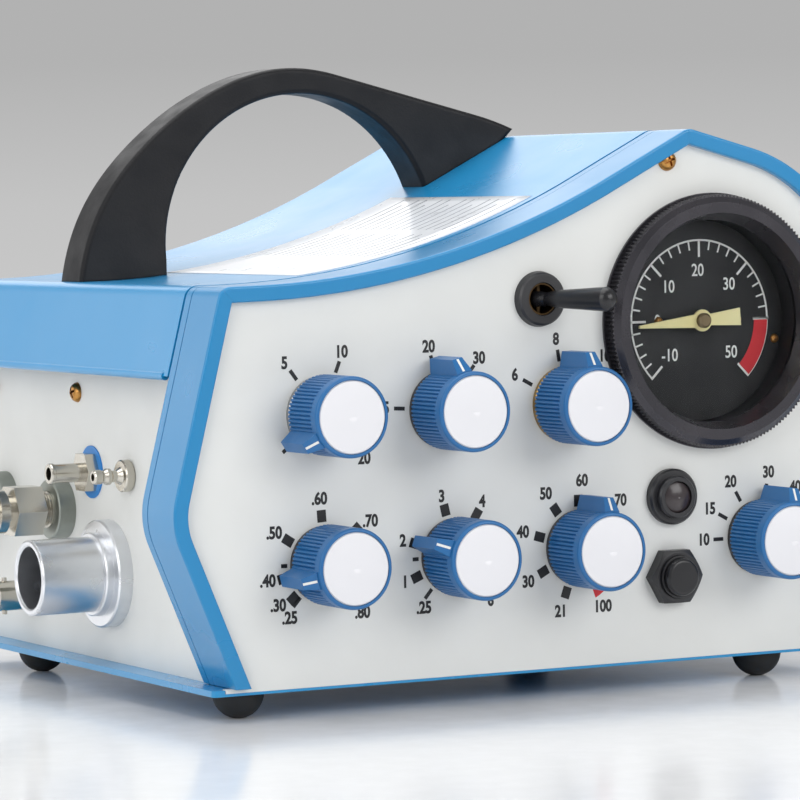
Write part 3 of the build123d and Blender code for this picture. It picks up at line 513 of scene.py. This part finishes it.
# White index line down each knob's wing
LINE_WIDTH = 0.7
LINE_SKIN = 0.05 * MM
LINE_NEAR = 11.7
LINE_FAR = 15.1
LINE_STEPS = 6
RAY_START = 20 * MM
for control, angle in WINGS.items():
    knob = NODES[f"knob_{control}"]
    centre = middle(f"cap_{control}")
    outward = Vector((cos(radians(angle)), 0.0, sin(radians(angle))))
    sideways = Vector((-sin(radians(angle)), 0.0, cos(radians(angle)))) * LINE_WIDTH / 2 * MM
    front_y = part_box(f"knob_{control}")[0][1]
    points = []
    for step in range(LINE_STEPS + 1):
        reach = (LINE_NEAR + (LINE_FAR - LINE_NEAR) * step / LINE_STEPS) * MM
        start = Vector((centre.x, front_y - RAY_START, centre.z)) + outward * reach
        hit, place, normal, _ = knob.ray_cast(start, Vector((0, 1, 0)))
        for side in (-1, 1):
            points.append(place + sideways * side + normal * LINE_SKIN)
    under = [point + Vector((0, LINE_SKIN * 1.6, 0)) for point in points]
    count = len(points)
    faces = []
    for row in range(LINE_STEPS):
        a = row * 2
        faces.append([a, a + 2, a + 3, a + 1])
        faces.append([count + a, count + a + 1, count + a + 3, count + a + 2])
        faces.append([a, count + a, count + a + 2, a + 2])
        faces.append([a + 1, a + 3, count + a + 3, count + a + 1])
    faces.append([0, 1, count + 1, count])
    faces.append([count - 2, 2 * count - 2, 2 * count - 1, count - 1])
    mesh = bpy.data.meshes.new(f"index_{control}")
    mesh.from_pydata(points + under, [], faces)
    finish_piece(f"index_{control}", mesh, print_white, f"dial_{control}")

# Gauge dial: minus ten at 225 degrees, fifty at minus 45
gauge_centre = middle("gauge_dial") + Vector((0.6 * MM, 0.0, 0.0))
DIAL_START = 225.0
TEN = 45.0
scale = Print()
scale.arc(DIAL_START, -45, 23.3, 23.85)
for index in range(7):
    scale.block(DIAL_START - TEN * index, 18.6, 23.85, 0.7)
for index in range(31):
    if index % 5:
        scale.block(DIAL_START - 9.0 * index, 20.8, 23.85, 0.5)
scale.arc(0.8, -0.2, 18.6, 24.1, 2)
scale.build("gauge_scale", gauge_centre, DIAL_Y, print_white)
numbers(
    "gauge_numbers",
    gauge_centre,
    DIAL_Y,
    around(14.6, ("-10", 224), ("0", 180), ("10", 137), ("20", 92), ("30", 45), ("50", -42)),
    3.6,
    print_white,
    bold=0.015,
)
danger = Print()
danger.arc(-1.0, -44.2, 19.0, 23.6, 24)
danger.build("gauge_red_sector", gauge_centre, DIAL_Y, print_red, ink=INK * 1.6)


# ---------------------------------------------------------------- label on the cover

cover = NODES["top_cover"]
LABEL_THICKNESS = 0.15


def cover_height(x, y):
    """How high the cover's outer face stands at a place."""
    hit, place, _, _ = cover.ray_cast(Vector((x, y, 1.0)), Vector((0, 0, -1)))
    return place.z if hit else None


def on_cover(name, left, right, front, back, material, slot, lift, across=24, along=8):
    """A thin sheet that follows the cover over a rectangle, in millimetres from the cover's low corner."""
    low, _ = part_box("top_cover")
    points = []
    for row in range(along + 1):
        for column in range(across + 1):
            x = low[0] + (left + (right - left) * column / across) * MM
            y = low[1] + (front + (back - front) * row / along) * MM
            points.append((x, y, cover_height(x, y) + lift * MM))
    count = len(points)
    points += [(x, y, z - LABEL_THICKNESS * 0.9 * MM) for x, y, z in points]
    width = across + 1
    faces = []
    for row in range(along):
        for column in range(across):
            a = row * width + column
            faces.append([a, a + 1, a + 1 + width, a + width])
            faces.append([count + a, count + a + width, count + a + 1 + width, count + a + 1])
    rim = list(range(width))
    rim += [row * width + across for row in range(1, along + 1)]
    rim += [along * width + column for column in reversed(range(across))]
    rim += [row * width for row in reversed(range(1, along))]
    for index, a in enumerate(rim):
        b = rim[(index + 1) % len(rim)]
        faces.append([b, a, count + a, count + b])
    mesh = bpy.data.meshes.new(name)
    mesh.from_pydata(points, [], faces)
    for face in mesh.polygons:
        face.use_smooth = face.index < along * across * 2
    return finish_piece(name, mesh, material)


LABEL = (43.0, 120.0, 3.4, 90.4)
RULE_COLUMNS = ((70, 92), (96, 118))
RULE_ROWS = 15
RULE_FRONT = 9.0
RULE_PITCH = 4.9
RULE_DEPTH = 0.7
SHORT_LINE = 3.5
on_cover("top_label", *LABEL, label_white, "cap_white", LABEL_THICKNESS)
for column_left, column_right in RULE_COLUMNS:
    for row in range(RULE_ROWS):
        front = RULE_FRONT + RULE_PITCH * row
        on_cover(
            f"label_rule_{column_left}_{row}",
            column_left,
            column_right - (SHORT_LINE if row % 3 == 1 else 0),
            front,
            front + RULE_DEPTH,
            print_grey,
            "button_black",
            LABEL_THICKNESS + 0.03,
            across=10,
            along=1,
        )

# Blue ring under the pressure port
side_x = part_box("side_panel_left")[0][0]
port_middle = middle("pressure_port")
DISC_STEPS = 64
DISC_THICKNESS = 0.4 * MM
DISC_RADII = (5.2 * MM, 7.8 * MM)
disc_points = []
for x in (side_x, side_x - DISC_THICKNESS):
    for radius in DISC_RADII:
        for step in range(DISC_STEPS):
            turn = radians(360 * step / DISC_STEPS)
            disc_points.append((x, port_middle.y + radius * cos(turn), port_middle.z + radius * sin(turn)))
disc_faces = []
for step in range(DISC_STEPS):
    after = (step + 1) % DISC_STEPS
    inner_wall, outer_wall, inner_front, outer_front = [DISC_STEPS * k for k in range(4)]
    disc_faces.append([inner_front + step, inner_front + after, outer_front + after, outer_front + step])
    disc_faces.append([inner_wall + step, outer_wall + step, outer_wall + after, inner_wall + after])
    disc_faces.append([outer_wall + step, outer_front + step, outer_front + after, outer_wall + after])
    disc_faces.append([inner_wall + step, inner_wall + after, inner_front + after, inner_front + step])
disc_mesh = bpy.data.meshes.new("pressure_disc")
disc_mesh.from_pydata(disc_points, [], disc_faces)
finish_piece("pressure_disc", disc_mesh, disc_blue)


# ---------------------------------------------------------------- stage, lights and camera

FLOOR = 3.0
floor_material = surface(
    "floor", (243, 244, 246), (241, 242, 244), 0.14, grain=40, grain_depth=0.002, round_edge=0.01
)
floor_mesh = bpy.data.meshes.new("floor")
floor_mesh.from_pydata(
    [(-FLOOR, -FLOOR, 0), (FLOOR, -FLOOR, 0), (FLOOR, FLOOR, 0), (-FLOOR, FLOOR, 0)], [], [[0, 1, 2, 3]]
)
floor_mesh.materials.append(floor_material)
floor = bpy.data.objects.new("floor", floor_mesh)
bpy.context.scene.collection.objects.link(floor)

# A backdrop that darkens upwards from the horizon
world = bpy.data.worlds.new("studio")
bpy.context.scene.world = world
world.use_nodes = True
sky = world.node_tree
background = sky.nodes["Background"]
place = sky.nodes.new("ShaderNodeTexCoord").outputs["Generated"]
split = sky.nodes.new("ShaderNodeSeparateXYZ")
sky.links.new(place, split.inputs["Vector"])
height = sky.nodes.new("ShaderNodeMath")
height.operation = "MULTIPLY_ADD"
height.inputs[1].default_value = 2.0
height.inputs[2].default_value = 0.1
sky.links.new(split.outputs["Z"], height.inputs[0])
ramp = sky.nodes.new("ShaderNodeValToRGB")
ramp.color_ramp.elements[0].color = linear(214, 214, 214)
ramp.color_ramp.elements[1].color = linear(172, 172, 172)
for position, shade in ((0.096, 205), (0.166, 187)):
    ramp.color_ramp.elements.new(position).color = linear(shade, shade, shade)
sky.links.new(height.outputs["Value"], ramp.inputs["Fac"])
sky.links.new(ramp.outputs["Color"], background.inputs["Color"])
background.inputs["Strength"].default_value = 0.9


def softbox(name, place, aim, size, power):
    """A rectangular area light that looks at a place."""
    light = bpy.data.lights.new(name, "AREA")
    light.shape = "RECTANGLE"
    light.size, light.size_y = size
    light.energy = power
    lamp = bpy.data.objects.new(name, light)
    lamp.location = place
    lamp.rotation_euler = (Vector(aim) - Vector(place)).to_track_quat("-Z", "Y").to_euler()
    bpy.context.scene.collection.objects.link(lamp)


CENTRE = (0.0, 0.0, 0.09)
softbox("overhead", (-0.1, 0.15, 1.25), CENTRE, (1.6, 1.1), 13.0)
softbox("left_key", (-1.3, -0.75, 0.75), CENTRE, (0.9, 1.1), 8.0)
softbox("front_fill", (0.7, -1.5, 0.8), CENTRE, (1.2, 0.9), 11.5)
softbox("rear_fill", (0.4, 1.3, 0.8), CENTRE, (1.2, 0.8), 4.0)
softbox("left_rear", (-1.3, 1.4, 0.55), CENTRE, (1.4, 1.2), 6.0)

camera_data = bpy.data.cameras.new("camera")
camera_data.lens = 183.7
camera_data.sensor_width = 36.0
camera = bpy.data.objects.new("camera", camera_data)
right = Vector((0.88033, -0.47409, -0.01569))
up = Vector((0.03776, 0.03707, 0.99860))
back = right.cross(up)
pose = Matrix((right, up, back)).transposed().to_4x4()
case_corner = Vector((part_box("side_panel_left")[0][0] + 1.5 * MM, *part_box("front_panel")[0][1:]))
pose.translation = case_corner + Vector((-0.4908, -1.0072, 0.1368))
camera.matrix_world = pose
bpy.context.scene.collection.objects.link(camera)
bpy.context.scene.camera = camera
bpy.context.scene.view_settings.view_transform = "Standard"
